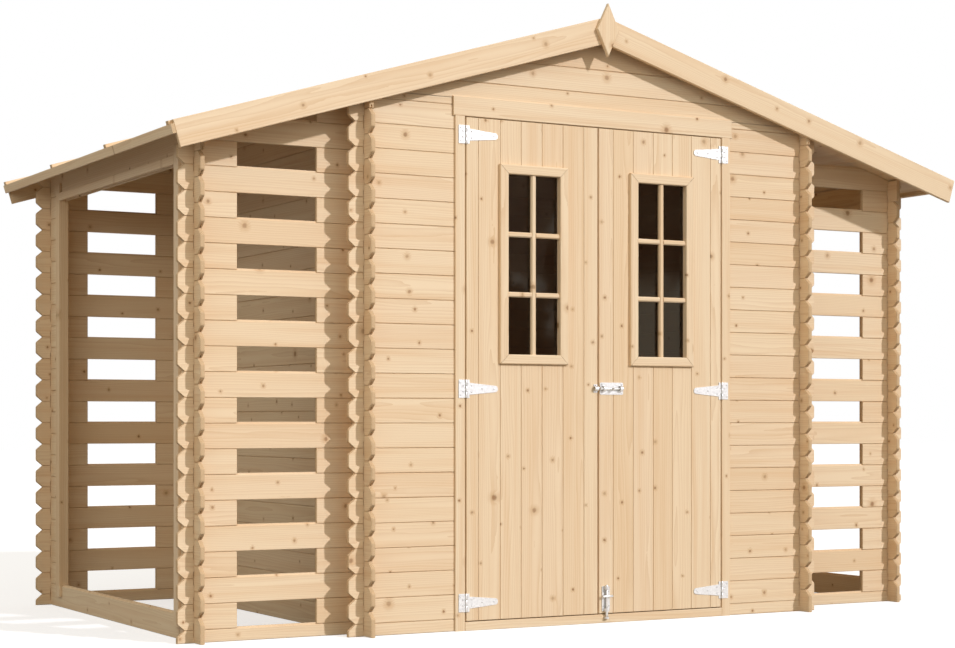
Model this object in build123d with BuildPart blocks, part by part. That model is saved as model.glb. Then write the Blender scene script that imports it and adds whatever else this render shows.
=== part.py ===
# Garden shed of interlocking log boards with a slatted log store on each side, all under one
# gable roof. X runs along the front, Y from front to rear, Z up. The origin is on the ground in
# the middle of the overall box. Millimetres.
import os
from math import ceil, cos, radians, sin, tan

from build123d import *

os.makedirs("parts", exist_ok=True)

# Log boards: height covered by one board, thickness, and the ends that run past each corner
course = 85.0
board = 16.0
tail = 58.0
tip_run = 25.0
tip_rise = 21.0

# Shed, over the outer faces of its walls
shed_width = 1870.0
shed_depth = 1740.0

# Log stores: width beside the shed, and how far each slatted panel sits in from the shed's ends
store_width = 575.0
left_setback = 90.0
right_setback = 160.0
rear_setback = 62.0
slot_width = 287.0

# Framed opening on the outer side of each store
return_length = 102.0
post_width = 43.0
post_depth = 38.0
groove_depth = 15.0
head_rail_height = 30.0
head_rail_lap = 6.0

# Roof: heights are measured on the bargeboards' top edge, thicknesses square to the slope
eave_height = 1728.3
roof_pitch = 16.2
eave_overhang = 129.0
front_overhang = 61.0
rear_overhang = 113.0
barge_depth = 91.0
barge_thick = 16.0
batten_height = 12.0
batten_width = 22.0
batten_rows = 4
roof_board = 16.0
eave_trim_depth = 32.0
eave_trim_thick = 12.0
finial_width = 92.0
finial_height = 190.0
finial_thick = 16.0
finial_drop = 37.0
purlin_width = 40.0
purlin_depth = 90.0
side_purlin_x = 470.0

# Doorway and its frame
doorway_width = 1097.0
doorway_height = 1790.0
jamb_width = 38.0
frame_proud = 8.0
frame_depth = 38.0
header_lap = 8.0
header_cover = 30.0
sill_height = 31.0

# Door leaves
door_gap = 5.0
leaf_thick = 16.0
ledge_height = 90.0
ledge_thick = 16.0
ledge_inset = 40.0

# Windows in the leaves: opening, moulding round it and glazing bars
window_width = 212.0
window_height = 634.0
window_drop = 187.0
moulding_width = 34.0
moulding_thick = 12.0
bar_width = 18.0
bar_proud = 6.0
glass_thick = 4.0
pane_rows = 3

# Tee hinges
hinge_foot = 62.0
hinge_middle = 806.0
hinge_head = 59.0
plate_height = 64.0
plate_length = 29.0
strap_length = 127.0
strap_head = 14.0
strap_root = 42.0
strap_tip = 22.0
metal = 2.5
knuckle_radius = 3.5
knuckle_gap = 1.0

# Sliding latch across the meeting edge, and the upright bolt at the foot of the right leaf
latch_level = 847.0
latch_plate_length = 100.0
latch_plate_height = 44.0
latch_plate_corner = 5.0
latch_edge = 3.0
guide_width = 20.0
guide_length = 12.0
guide_inset = 8.0
rod_radius = 5.0
rod_play = 0.6
rod_length = 100.0
knob_length = 9.0
knob_reach = 18.0
knob_place = 52.0
keeper_width = 16.0
keeper_height = 30.0
bolt_x = 31.0
bolt_plate_bottom = 42.0
bolt_plate_top = 133.0
bolt_plate_width = 34.0
bolt_tip = 25.0
bolt_rod_length = 112.0
bolt_handle_level = 97.0
bolt_handle_length = 44.0
staple_wire = 3.0
staple_drop = 1.5
staple_height = 8.0

# Places worked out from the sizes above
pitch_angle = radians(roof_pitch)
slope = tan(pitch_angle)
roof_under = batten_height + roof_board
half_shed = shed_width / 2
half_store = half_shed + store_width
ridge_height = eave_height + half_store * slope
eave_half = half_store + eave_overhang
total_depth = shed_depth + front_overhang + rear_overhang + finial_thick
front_y = front_overhang + finial_thick - total_depth / 2
rear_y = front_y + shed_depth
roof_front = front_y - front_overhang + barge_thick
roof_rear = rear_y + rear_overhang - barge_thick
slope_end = eave_half / cos(pitch_angle)
frame_front = front_y - frame_proud
leaf_back = frame_front + leaf_thick
half_door = doorway_width / 2
wall_end = half_door + jamb_width - groove_depth
leaf_width = half_door - door_gap - door_gap / 2
leaf_bottom = sill_height + door_gap
leaf_top = doorway_height - door_gap
axis_x = half_door - door_gap / 2
axis_y = frame_front - knuckle_radius
head_joint = ceil(doorway_height / course - 0.5) + 0.5
head_joint_z = head_joint * course
header_height = head_joint_z + header_cover - doorway_height
window_bottom = leaf_top - window_drop - window_height
hinge_levels = (leaf_bottom + hinge_foot, leaf_bottom + hinge_middle, leaf_top - hinge_head)
rod_y = frame_front - metal - rod_radius - rod_play


def under_roof(x):
    # Height of the roof boards' lower face at a distance x from the ridge
    return ridge_height - roof_under / cos(pitch_angle) - abs(x) * slope


def roof_point(side, run, drop):
    # Point a run down the slope from the ridge and a drop square below the bargeboard's top
    x = run * cos(pitch_angle) - drop * sin(pitch_angle)
    return (side * x, ridge_height - run * sin(pitch_angle) - drop * cos(pitch_angle))


def ridge_point(drop):
    return (0, ridge_height - drop / cos(pitch_angle))


def slope_section(side, top_drop, low_drop, run_end):
    # Strip of the roof between two drops, from the plumb cut at the ridge to a square end
    return [
        ridge_point(top_drop),
        roof_point(side, run_end, top_drop),
        roof_point(side, run_end, low_drop),
        ridge_point(low_drop),
    ]


def log_end(tip, inward, joints):
    # Outline up a stack of chamfered log ends: inward is +1 or -1, towards the wall
    points = [(tip if joints[0] == 0 else tip + inward * tip_run, joints[0])]
    for low, high in zip(joints, joints[1:]):
        if low > 0:
            points.append((tip, low + tip_rise))
        points.append((tip, high - tip_rise))
        points.append((tip + inward * tip_run, high))
    return points


def half_joints(top, first=0):
    # Joint heights of boards laid from side to side, which start with half a board
    heights = [0.0] if first == 0 else []
    level = 0.5 if first == 0 else first
    while level * course < top:
        heights.append(level * course)
        level += 1
    return heights + [level * course]


def full_joints(top, first=0):
    # Joint heights of boards laid from front to rear, which start with a whole board
    count = int(top / course) + 1
    return [level * course for level in range(first, count + 1)]


def save(item, name):
    item.part.label = name
    export_step(item.part, f"parts/{name}.step")


def notch_rows(columns, start, top):
    # Centres of the half-height notches where crossing boards interlock
    rows = int(top / course) + 2
    return [(x, (level + start) * course) for x in columns for level in range(rows)]


def gable_limit():
    # Everything under the roof boards, as a closed outline
    reach = 2 * half_store
    return [(-reach, -course), (reach, -course), (reach, under_roof(reach)), (0, under_roof(0)),
            (-reach, under_roof(reach))]


def cross_wall(outline, columns, y, slots=()):
    # Wall of boards laid from side to side, its outer face at y, notched at its crossings
    with BuildPart() as wall:
        with BuildSketch(Plane.XZ.offset(-y)):
            with BuildLine():
                Polyline(*outline, close=True)
            make_face()
            with BuildLine():
                Polyline(*gable_limit(), close=True)
            make_face(mode=Mode.INTERSECT)
            if columns:
                with Locations(*notch_rows(columns, 0.5, ridge_height)):
                    Rectangle(board, course / 2, mode=Mode.SUBTRACT)
            if slots:
                with Locations(*slots):
                    Rectangle(slot_width, course, mode=Mode.SUBTRACT)
        extrude(amount=-board)
    return wall


def long_wall(side, outline, rows, x_out):
    # Wall of boards laid from front to rear, its outer face at x_out, notched at its crossings
    x = side * x_out
    with BuildPart() as wall:
        with BuildSketch(Plane.YZ.offset(x)):
            with BuildLine():
                Polyline(*outline, close=True)
            make_face()
            if rows:
                with Locations(*notch_rows(rows, 0, ridge_height)):
                    Rectangle(board, course / 2, mode=Mode.SUBTRACT)
        extrude(amount=-side * board)
        roof_plane = Plane(origin=(0, 0, under_roof(0)), z_dir=(side * slope, 0, 1))
        split(bisect_by=roof_plane, keep=Keep.BOTTOM)
    return wall


def build_shed_walls():
    # Front wall beside and over the doorway, rear wall and the two side walls
    tip = half_shed + tail
    column = half_shed - board / 2
    low = [z for z in half_joints(head_joint_z) if z <= head_joint_z]
    for side, name in ((-1, "front_wall_left"), (1, "front_wall_right")):
        jamb_x = side * wall_end
        outline = log_end(side * tip, -side, low) + [(jamb_x, low[-1]), (jamb_x, 0)]
        save(cross_wall(outline, [side * column], front_y), name)

    high = half_joints(under_roof(half_shed), head_joint)
    outline = log_end(-tip, 1, high) + [(0, ridge_height)] + log_end(tip, -1, high)[::-1]
    save(cross_wall(outline, [-column, column], front_y), "front_gable")

    full = half_joints(under_roof(half_shed))
    outline = log_end(-tip, 1, full) + [(0, ridge_height)] + log_end(tip, -1, full)[::-1]
    save(cross_wall(outline, [-column, column], rear_y - board), "rear_wall")

    # The topmost boards stop short behind the bargeboards
    free_top = roof_point(1, half_shed / cos(pitch_angle), barge_depth)[1]
    joints = [z for z in full_joints(free_top) if z <= free_top]
    top = under_roof(half_shed - board)
    outline = log_end(front_y - tail, 1, joints)
    outline += [(roof_front, joints[-1]), (roof_front, top), (roof_rear, top), (roof_rear, joints[-1])]
    outline += log_end(rear_y + tail, -1, joints)[::-1]
    rows = [front_y + board / 2, rear_y - board / 2]
    for side, name in ((-1, "side_wall_left"), (1, "side_wall_right")):
        save(long_wall(side, outline, rows, half_shed), name)


def build_store(side, name, front_setback):
    # One log store: slatted panels front and rear, short returns, posts, rails and top log
    tip = side * (half_store + tail)
    column = side * (half_store - board / 2)
    joints = half_joints(under_roof(half_store))
    slot_x = side * (half_shed + store_width / 2)
    slot_rows = int(under_roof(slot_x - side * slot_width / 2) / (2 * course)) + 1
    slots = [(slot_x, (2 * row + 1) * course) for row in range(slot_rows)]
    wall_top = under_roof(half_shed)
    outline = log_end(tip, -side, joints) + [(side * half_shed, wall_top), (side * half_shed, 0)]
    front_panel = front_y + front_setback
    rear_panel = rear_y - rear_setback - board
    save(cross_wall(outline, [column], front_panel, slots), f"{name}_front_panel")
    save(cross_wall(outline, [column], rear_panel, slots), f"{name}_rear_panel")

    # Boards of the outer side: one along the ground, one under the eave, short ones between
    front_tip = front_panel - tail
    rear_tip = rear_panel + board + tail
    rows = [front_panel + board / 2, rear_panel + board / 2]
    rail = log_end(front_tip, 1, [0, course]) + log_end(rear_tip, -1, [0, course])[::-1]
    save(long_wall(side, rail, rows, half_store), f"{name}_bottom_rail")

    top = under_roof(half_store - board)
    head_z = (int(top / course) - 1) * course
    top_joints = [head_z, head_z + course]
    beam = log_end(front_tip, 1, top_joints)[:-2] + [(front_tip, top), (rear_tip, top)]
    beam += log_end(rear_tip, -1, top_joints)[:-2][::-1]
    save(long_wall(side, beam, rows, half_store), f"{name}_top_log")

    front_inner = front_panel + board + return_length
    rear_inner = rear_panel - return_length
    levels = full_joints(head_z - course, 1)
    front_stub = log_end(front_tip, 1, levels)
    front_stub += [(front_inner + groove_depth, head_z), (front_inner + groove_depth, course)]
    rear_stub = log_end(rear_tip, -1, levels)
    rear_stub += [(rear_inner - groove_depth, head_z), (rear_inner - groove_depth, course)]
    save(long_wall(side, front_stub, rows[:1], half_store), f"{name}_front_return")
    save(long_wall(side, rear_stub, rows[1:], half_store), f"{name}_rear_return")

    build_opening_frame(side, name, front_inner, rear_inner, head_z)


def build_opening_frame(side, name, front_inner, rear_inner, head_z):
    # Grooved posts that clasp the short boards, forked over the long ones, and the head rail
    middle = side * (half_store - board / 2)
    post_low = course / 2
    post_high = head_z + course / 2
    post_middle = (post_low + post_high) / 2
    posts = ((front_inner, 1), (rear_inner, -1))
    with BuildPart() as frame:
        for y, inward in posts:
            with BuildSketch(Plane.XY.offset(post_low)):
                with Locations((middle, y + inward * post_width / 2)):
                    Rectangle(post_depth, post_width)
                with Locations((middle, y + inward * groove_depth / 2)):
                    Rectangle(board, groove_depth, mode=Mode.SUBTRACT)
            extrude(amount=post_high - post_low)
        for y, inward in posts:
            for z in (course / 2, head_z + course / 2):
                with Locations((middle, y + inward * post_width / 2, z)):
                    Box(board, post_width, course, mode=Mode.SUBTRACT)
    save(frame, f"{name}_posts")

    rail_low = head_z + head_rail_lap - head_rail_height
    span_start = front_inner + post_width
    span = rear_inner - post_width - span_start
    with BuildPart() as head_rail:
        with BuildSketch(Plane.XZ.offset(-span_start)):
            with Locations((middle, rail_low + head_rail_height / 2)):
                Rectangle(post_depth, head_rail_height)
            with Locations((middle, head_z + head_rail_lap / 2)):
                Rectangle(board, head_rail_lap, mode=Mode.SUBTRACT)
            with Locations((middle, rail_low + head_rail_lap / 2)):
                Rectangle(board, head_rail_lap, mode=Mode.SUBTRACT)
        extrude(amount=-span)
    save(head_rail, f"{name}_head_rail")


def build_roof():
    # Roof boards, eave trims, bargeboards, battens, purlins and the diamond on the front ridge
    sides = ((-1, "left"), (1, "right"))
    barge_front = front_y - front_overhang
    barge_rear = roof_rear + barge_thick
    for side, name in sides:
        with BuildPart() as slab:
            with BuildSketch(Plane.XZ.offset(-roof_front)):
                with BuildLine():
                    Polyline(*slope_section(side, batten_height, roof_under, slope_end), close=True)
                make_face()
            extrude(amount=roof_front - roof_rear)
        save(slab, f"roof_{name}")

        low = batten_height + eave_trim_depth
        run_out = slope_end + eave_trim_thick
        with BuildPart() as trim:
            with BuildSketch(Plane.XZ.offset(-barge_front)):
                with BuildLine():
                    Polyline(
                        roof_point(side, slope_end, batten_height),
                        roof_point(side, run_out, batten_height),
                        roof_point(side, run_out, low),
                        roof_point(side, slope_end, low),
                        close=True,
                    )
                make_face()
            extrude(amount=barge_front - barge_rear)
        save(trim, f"{name}_eave_trim")

        for y, end in ((barge_front, "front"), (roof_rear, "rear")):
            with BuildPart() as barge:
                with BuildSketch(Plane.XZ.offset(-y)):
                    with BuildLine():
                        Polyline(*slope_section(side, 0, barge_depth, slope_end), close=True)
                    make_face()
                extrude(amount=-barge_thick)
            save(barge, f"{end}_bargeboard_{name}")

        spacing = (roof_rear - roof_front - batten_width) / (batten_rows - 1)
        with BuildPart() as battens:
            for row in range(batten_rows):
                with BuildSketch(Plane.XZ.offset(-(roof_front + row * spacing))):
                    with BuildLine():
                        Polyline(*slope_section(side, 0, batten_height, run_out), close=True)
                    make_face()
                extrude(amount=-batten_width)
        save(battens, f"{name}_roof_battens")

    with BuildPart() as purlins:
        for x in (-side_purlin_x, 0, side_purlin_x):
            left = x - purlin_width / 2
            right = x + purlin_width / 2
            low = under_roof(x) - purlin_depth
            peak = [(0, under_roof(0))] if x == 0 else []
            with BuildSketch(Plane.XZ.offset(-(front_y + board))):
                with BuildLine():
                    Polyline((left, low), (left, under_roof(left)), *peak, (right, under_roof(right)),
                             (right, low), close=True)
                make_face()
            extrude(amount=2 * board - shed_depth)
    save(purlins, "purlins")

    centre = ridge_height - finial_drop
    with BuildPart() as finial:
        with BuildSketch(Plane.XZ.offset(front_overhang - front_y)):
            with BuildLine():
                Polyline(
                    (0, centre + finial_height / 2),
                    (finial_width / 2, centre),
                    (0, centre - finial_height / 2),
                    (-finial_width / 2, centre),
                    close=True,
                )
            make_face()
        extrude(amount=finial_thick)
    save(finial, "finial")


def build_door_frame():
    # Grooved jambs that clasp the cut boards, the head over them, the header board and the sill
    for side, name in ((-1, "door_jamb_left"), (1, "door_jamb_right")):
        x = side * (half_door + jamb_width / 2)
        groove_x = side * (wall_end + groove_depth / 2)
        with BuildPart() as jamb:
            with BuildSketch():
                with Locations((x, frame_front + frame_depth / 2)):
                    Rectangle(jamb_width, frame_depth)
                with Locations((groove_x, front_y + board / 2)):
                    Rectangle(groove_depth, board, mode=Mode.SUBTRACT)
            extrude(amount=doorway_height)
        save(jamb, name)

    head_depth = frame_depth - frame_proud
    with BuildPart() as head:
        with BuildSketch(Plane.XY.offset(doorway_height)):
            with Locations((0, front_y + head_depth / 2)):
                Rectangle(2 * wall_end, head_depth)
        extrude(amount=head_joint_z - doorway_height)
    save(head, "door_head")

    header_length = 2 * (half_door + jamb_width + header_lap)
    with BuildPart() as header:
        with BuildSketch(Plane.XY.offset(doorway_height)):
            with Locations((0, front_y - frame_proud / 2)):
                Rectangle(header_length, frame_proud)
        extrude(amount=header_height)
    save(header, "header_board")

    with BuildPart() as sill:
        with BuildSketch():
            with Locations((0, frame_front + frame_depth / 2)):
                Rectangle(doorway_width, frame_depth)
        extrude(amount=sill_height)
    save(sill, "sill")


def leaf_centre(side):
    return side * (door_gap / 2 + leaf_width / 2)


def build_leaf(side, name):
    # Boarded door leaf with its ledges, window moulding with glazing bars, and glass
    x = leaf_centre(side)
    window_z = window_bottom + window_height / 2
    with BuildPart() as leaf:
        with BuildSketch(Plane.XZ.offset(-frame_front)):
            with Locations((x, (leaf_bottom + leaf_top) / 2)):
                Rectangle(leaf_width, leaf_top - leaf_bottom)
            with Locations((x, window_z)):
                Rectangle(window_width, window_height, mode=Mode.SUBTRACT)
        extrude(amount=-leaf_thick)
    save(leaf, f"{name}_leaf")

    with BuildPart() as ledges:
        with BuildSketch(Plane.XZ.offset(-leaf_back)):
            with Locations(*[(x, level) for level in hinge_levels]):
                Rectangle(leaf_width - 2 * ledge_inset, ledge_height)
        extrude(amount=-ledge_thick)
    save(ledges, f"{name}_ledges")

    glass_front = leaf_back - glass_thick
    bars_front = frame_front - bar_proud
    with BuildPart() as window:
        with BuildSketch(Plane.XZ.offset(moulding_thick - frame_front)):
            with Locations((x, window_z)):
                Rectangle(window_width + 2 * moulding_width, window_height + 2 * moulding_width)
                Rectangle(window_width, window_height, mode=Mode.SUBTRACT)
        extrude(amount=-moulding_thick)
        pane_step = window_height / pane_rows
        with BuildSketch(Plane.XZ.offset(-bars_front)):
            with Locations((x, window_z)):
                Rectangle(bar_width, window_height)
            with Locations(*[(x, window_bottom + row * pane_step) for row in range(1, pane_rows)]):
                Rectangle(window_width, bar_width)
        extrude(amount=bars_front - glass_front)
    save(window, f"{name}_window_frame")

    with BuildPart() as glass:
        with BuildSketch(Plane.XZ.offset(-glass_front)):
            with Locations((x, window_z)):
                Rectangle(window_width, window_height)
        extrude(amount=-glass_thick)
    save(glass, f"{name}_glass")


def build_hinges(side, name):
    # Tee hinges: a plate and two knuckles stay on the jamb, a headed strap and one knuckle on the leaf
    x = side * axis_x
    third = plate_height / 3
    leaf_reach = door_gap
    with BuildPart() as plates:
        for level in hinge_levels:
            with BuildSketch(Plane.XZ.offset(metal - frame_front)):
                with Locations((x + side * (knuckle_radius + plate_length) / 2, level)):
                    Rectangle(plate_length - knuckle_radius, plate_height)
                for step in (-third, third):
                    with Locations((x + side * knuckle_radius / 2, level + step)):
                        Rectangle(knuckle_radius, third)
            extrude(amount=-metal)
            for step in (-third, third):
                with Locations((x, axis_y, level + step)):
                    Cylinder(knuckle_radius, third)
    save(plates, f"{name}_hinge_plates")

    knuckle = third - 2 * knuckle_gap
    with BuildPart() as straps:
        for level in hinge_levels:
            with BuildSketch(Plane.XZ.offset(metal - frame_front)):
                with BuildLine():
                    Polyline(
                        (x - side * leaf_reach, level - strap_root / 2),
                        (x - side * leaf_reach, level + strap_root / 2),
                        (x - side * strap_length, level + strap_tip / 2),
                        (x - side * strap_length, level - strap_tip / 2),
                        close=True,
                    )
                make_face()
                with Locations((x - side * leaf_reach / 2, level)):
                    Rectangle(leaf_reach, knuckle)
                with Locations((x - side * (leaf_reach + strap_head) / 2, level)):
                    Rectangle(strap_head - leaf_reach, plate_height)
            extrude(amount=-metal)
            with Locations((x, axis_y, level)):
                Cylinder(knuckle_radius, knuckle)
    save(straps, f"{name}_hinge_straps")


def guide_outline():
    # Pressed guide, straight-sided outside, with its flats half the guide's width from the rod
    RegularPolygon(guide_width / 2, 8, major_radius=False, rotation=22.5)


def build_latch():
    # Sliding latch: plate with two guides, the rod with its knob, and the keeper opposite
    edge = door_gap / 2
    plate_x = edge + latch_edge
    bore = rod_radius + rod_play
    guide_starts = (
        plate_x + guide_inset,
        plate_x + latch_plate_length - guide_inset - guide_length,
    )
    with BuildPart() as plate:
        with BuildSketch(Plane.XZ.offset(metal - frame_front)):
            with Locations((plate_x + latch_plate_length / 2, latch_level)):
                corners = Rectangle(latch_plate_length, latch_plate_height).vertices()
            chamfer(corners, latch_plate_corner)
        extrude(amount=-metal)
        for start in guide_starts:
            with BuildSketch(Plane.YZ.offset(start)):
                with Locations((rod_y, latch_level)):
                    guide_outline()
                with Locations((frame_front - metal + guide_width, latch_level)):
                    Rectangle(2 * guide_width, 2 * guide_width, mode=Mode.SUBTRACT)
                with Locations((rod_y, latch_level)):
                    Circle(bore, mode=Mode.SUBTRACT)
            extrude(amount=guide_length)
    save(plate, "latch_plate")

    with BuildPart() as rod:
        with BuildSketch(Plane.YZ.offset(edge)):
            with Locations((rod_y, latch_level)):
                Circle(rod_radius)
        extrude(amount=rod_length)
        with Locations((edge + knob_place, rod_y - knob_reach / 2, latch_level)):
            Box(knob_length, knob_reach, knob_length)
    save(rod, "latch_rod")

    keeper_x = edge - door_gap - latch_edge
    keeper_depth = frame_front - (rod_y - bore - metal)
    with BuildPart() as keeper:
        with Locations((keeper_x - keeper_width / 2, frame_front - keeper_depth / 2, latch_level)):
            Box(keeper_width, keeper_depth, keeper_height)
        with BuildSketch(Plane.YZ.offset(keeper_x)):
            with Locations((rod_y, latch_level)):
                Circle(bore)
        extrude(amount=-keeper_width, mode=Mode.SUBTRACT)
    save(keeper, "latch_keeper")


def build_bolt():
    # Upright bolt: plate with two guides, the rod with its cross handle, and the sill's staple
    bore = rod_radius + rod_play
    guide_levels = (bolt_plate_bottom, bolt_plate_top - guide_length)
    with BuildPart() as plate:
        with BuildSketch(Plane.XZ.offset(metal - frame_front)):
            with Locations((bolt_x, (bolt_plate_bottom + bolt_plate_top) / 2)):
                Rectangle(bolt_plate_width, bolt_plate_top - bolt_plate_bottom)
        extrude(amount=-metal)
        for level in guide_levels:
            with BuildSketch(Plane.XY.offset(level)):
                with Locations((bolt_x, rod_y)):
                    guide_outline()
                with Locations((bolt_x, frame_front - metal + guide_width)):
                    Rectangle(2 * guide_width, 2 * guide_width, mode=Mode.SUBTRACT)
                with Locations((bolt_x, rod_y)):
                    Circle(bore, mode=Mode.SUBTRACT)
            extrude(amount=guide_length)
    save(plate, "bolt_plate")

    with BuildPart() as rod:
        with BuildSketch(Plane.XY.offset(bolt_tip)):
            with Locations((bolt_x, rod_y)):
                Circle(rod_radius)
        extrude(amount=bolt_rod_length)
        with Locations((bolt_x, rod_y - rod_radius - rod_play, bolt_handle_level)):
            Box(bolt_handle_length, 2 * rod_radius, knob_length)
    save(rod, "bolt_rod")

    wire = bore + staple_wire
    with BuildPart() as staple:
        with BuildSketch(Plane.XY.offset(bolt_tip - staple_drop - staple_height)):
            with Locations((bolt_x, rod_y)):
                RegularPolygon(wire, 8, major_radius=False, rotation=22.5)
            with Locations((bolt_x, (rod_y + frame_front) / 2)):
                Rectangle(2 * wire, frame_front - rod_y)
            with Locations((bolt_x, frame_front + wire)):
                Rectangle(4 * wire, 2 * wire, mode=Mode.SUBTRACT)
            with Locations((bolt_x, rod_y)):
                Circle(bore, mode=Mode.SUBTRACT)
        extrude(amount=staple_height)
    save(staple, "bolt_staple")


build_shed_walls()
build_store(-1, "left", left_setback)
build_store(1, "right", right_setback)
build_roof()
build_door_frame()
for side, name in ((-1, "left"), (1, "right")):
    build_leaf(side, name)
    build_hinges(side, name)
build_latch()
build_bolt()
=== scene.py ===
import functools
import math
import bpy
import numpy as np
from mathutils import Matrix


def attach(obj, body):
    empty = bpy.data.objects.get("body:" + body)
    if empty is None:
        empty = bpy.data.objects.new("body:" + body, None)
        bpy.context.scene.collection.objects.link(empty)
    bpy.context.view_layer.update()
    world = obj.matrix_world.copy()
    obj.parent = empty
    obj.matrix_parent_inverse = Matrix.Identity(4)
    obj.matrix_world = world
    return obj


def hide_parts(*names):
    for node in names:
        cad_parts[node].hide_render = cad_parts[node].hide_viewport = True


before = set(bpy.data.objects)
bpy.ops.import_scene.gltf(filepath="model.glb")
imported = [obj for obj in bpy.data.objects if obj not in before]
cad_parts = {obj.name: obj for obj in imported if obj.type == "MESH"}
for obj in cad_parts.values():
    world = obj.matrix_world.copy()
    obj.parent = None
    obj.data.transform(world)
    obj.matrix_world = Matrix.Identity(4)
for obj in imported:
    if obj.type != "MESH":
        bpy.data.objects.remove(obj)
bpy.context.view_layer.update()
print("frame loaded", len(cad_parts), "nodes")

# sizes shared by several pieces, in millimetres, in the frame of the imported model
shed = {
    "course": 85.0,       # height covered by one log board
    "board": 16.0,        # thickness of a log board
    "sideCourses": 21,    # boards of a side wall under its top one
    "halfWidth": 935.0,   # middle to the outer face of a side wall
    "frontY": -888.0,     # outer face of the front wall
    "rearY": 852.0,       # outer face of the rear wall
    "halfStore": 1510.0,  # middle to the outer face of a log store
    "tail": 58.0,         # how far log ends run past a crossing
    "tipRun": 25.0,       # chamfer of a log end, along the board
    "tipRise": 21.0,      # the same, up the board
    "pitch": math.radians(16.55),
    "ridge": 2178.0,      # top edge of the bargeboards at the ridge
    "roofThick": 28.0,    # battens and roof boards together
    "roofFront": -933.0,  # front and rear ends of the roof boards
    "roofRear": 949.0,
    "roofGap": 1.0,       # between a side wall and the roof boards
}
slope = math.tan(shed["pitch"])
underRidge = shed["ridge"] - shed["roofThick"] / math.cos(shed["pitch"])


def roofUnder(x):
    return underRidge - np.abs(x) * slope


def hexLinear(text):
    # sRGB hex to linear: the low part is divided by 12.92, the rest is a 2.4 power
    c = np.array([int(text[i:i + 2], 16) for i in (1, 3, 5)]) / 255
    c = np.where(c <= 0.04045, c / 12.92, ((c + 0.055) / 1.055) ** 2.4)
    return (*c.tolist(), 1.0)


def addNode(tree, kind, inputs=(), stops=(), **settings):
    # inputs go by name or in order, each a constant, a socket, or a node whose first live output
    # is taken; stops are a colour ramp's places with an sRGB hex colour or a plain number
    node = tree.nodes.new("ShaderNode" + kind)
    for key, value in settings.items():
        setattr(node, key, value)
    for key, value in inputs.items() if isinstance(inputs, dict) else enumerate(inputs):
        if isinstance(value, bpy.types.Node):
            value = next(socket for socket in value.outputs if socket.enabled)
        if isinstance(value, bpy.types.NodeSocket):
            tree.links.new(value, node.inputs[key])
        else:
            node.inputs[key].default_value = value
    if stops:
        band = node.color_ramp.elements
        while len(band) < len(stops):
            band.new(0.5)
        for element, (place, colour) in zip(band, stops):
            element.position = place
            element.color = hexLinear(colour) if isinstance(colour, str) else (*[colour] * 3, 1)
    return node


def fillTree(owner, output, build):
    # build gets addNode for this tree, and gives back the shader of the surface
    owner.use_nodes = True
    owner.node_tree.nodes.clear()
    add = functools.partial(addNode, owner.node_tree)
    add(output, {"Surface": build(add)})
    return owner


def newMaterial(name, build):
    return fillTree(bpy.data.materials.new(name), "OutputMaterial", build)


def putInScene(name, data, location=(0, 0, 0), turn=(0, 0, 0)):
    thing = bpy.data.objects.new(name, data)
    thing.location = location
    thing.rotation_euler = np.radians(turn).tolist()
    bpy.context.scene.collection.objects.link(thing)
    return thing


def rectangle(x0, x1, z0, z1):
    # its corners, counterclockwise from the first one
    return [(x0, z0), (x1, z0), (x1, z1), (x0, z1)]


def edgesOf(outline):
    # the way from each corner to the next, and its length
    edge = np.roll(outline, -1, 0) - outline
    return edge, np.linalg.norm(edge, axis=1, keepdims=True)


def inset(outline, amount):
    # every corner moves inwards along its mitre: amount times the sum of its edges' inward
    # normals, over one plus their product
    edge, length = edgesOf(outline)
    edge = edge / length
    normal = np.stack([-edge[:, 1], edge[:, 0]], 1)
    before = np.roll(normal, 1, 0)
    return outline + amount * (normal + before) / (1 + (normal * before).sum(1, keepdims=True))


def counterClockwise(outline):
    outline = np.asarray(outline, dtype=float)
    x, y = outline.T
    area = (x * np.roll(y, -1) - np.roll(x, -1) * y).sum()
    return outline if area > 0 else outline[::-1]


def soften(outline, chosen, reach, steps=3):
    # a chosen corner P becomes the curve (1-t)^2 (P - r before) + 2t(1-t) P + t^2 (P + r after)
    after, length = edgesOf(outline)
    after = after / length
    before = np.roll(after, 1, 0)
    r = np.where(chosen, reach, 0.0)[:, None, None]
    t = np.linspace(0, 1, steps + 1)[None, :, None]
    p, a, b = outline[:, None], before[:, None], after[:, None]
    curve = (1 - t) ** 2 * (p - r * a) + 2 * t * (1 - t) * p + t ** 2 * (p + r * b)
    keep = np.asarray(chosen)[:, None] | (np.arange(steps + 1) == 0)[None]
    return curve[keep]


def cutUnder(outline, height):
    # keeps what lies under a sloping line: where an edge crosses it, the crossing point is the
    # edge's start plus its share of the fall
    h = height(outline)
    after, hAfter = np.roll(outline, -1, 0), np.roll(h, -1)
    crosses = h * hAfter < 0
    share = np.divide(h, h - hAfter, out=np.zeros_like(h), where=crosses)
    middle = outline + share[:, None] * (after - outline)
    both = np.stack([outline, middle], 1).reshape(-1, 2)
    keep = np.stack([h >= 0, crosses], 1).ravel()
    return both[keep]


def chamferCorners(outline, amount):
    # each corner gives two points, that far along its two edges
    edge, length = edgesOf(outline)
    step = np.minimum(amount, length / 3) * edge / length
    return np.stack([outline - np.roll(step, 1, 0), outline + step], 1).reshape(-1, 2)


def tubeFaces(rings, corners):
    # quads between neighbouring rings of points, then a cap on the first ring and one on the last
    ring, corner = np.meshgrid(np.arange(rings - 1), np.arange(corners), indexing="ij")
    a = (ring * corners + corner).ravel()
    b = (ring * corners + (corner + 1) % corners).ravel()
    loop = np.arange(corners)
    return np.stack([a, b, b + corners, a + corners], 1), np.stack([loop[::-1], loop + (rings - 1) * corners])


grainShift = np.array([4000.0, 55.0, 70.0])  # most that a board's grain moves: along, across, deep
endCosine = 0.85  # an edge less in line with the grain than this shows end grain

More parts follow.
